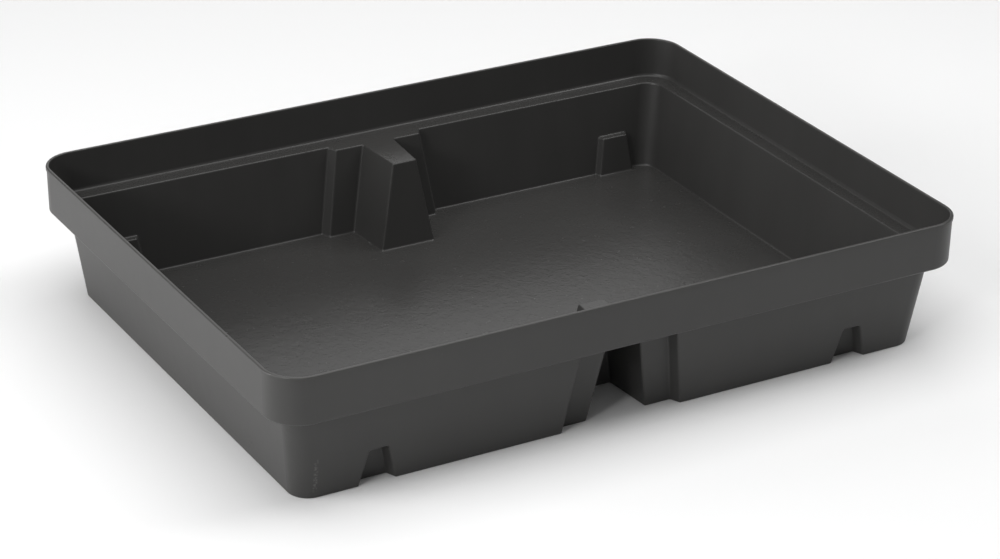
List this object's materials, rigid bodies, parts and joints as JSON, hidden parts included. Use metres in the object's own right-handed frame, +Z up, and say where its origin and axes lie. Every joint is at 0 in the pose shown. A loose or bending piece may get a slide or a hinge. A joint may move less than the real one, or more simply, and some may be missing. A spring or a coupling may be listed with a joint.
{
  "type": "spill containment tray",
  "caption": "Low rectangular black plastic sump tray with an upright rim band, an inner ledge for a grid, and hollow moulded pillars and foot pockets on its long sides.",
  "frame": {"origin": "middle of the base, on the surface that the tray stands on", "axes": "+X along the length, +Y across the width towards the back side, +Z up"},
  "size_m": [0.812, 0.612, 0.154],
  "materials": {
    "moulding": "satin, finely grained black polyethylene"
  },
  "bodies": {
    "root": {"rim_lip": "moulding", "rim_band": "moulding", "grid_ledge": "moulding", "sump_end_left": "moulding", "sump_end_right": "moulding", "sump_wall_front_left": "moulding", "sump_wall_front_right": "moulding", "sump_wall_back_left": "moulding", "sump_wall_back_right": "moulding", "sump_floor": "moulding", "pillar_saddle_front": "moulding", "pillar_saddle_back": "moulding", "grid_pillar_front": "moulding", "grid_pillar_back": "moulding", "foot_pocket_front_left": "moulding", "foot_pocket_front_right": "moulding", "foot_pocket_back_left": "moulding", "foot_pocket_back_right": "moulding"}
  },
  "joints": []
}
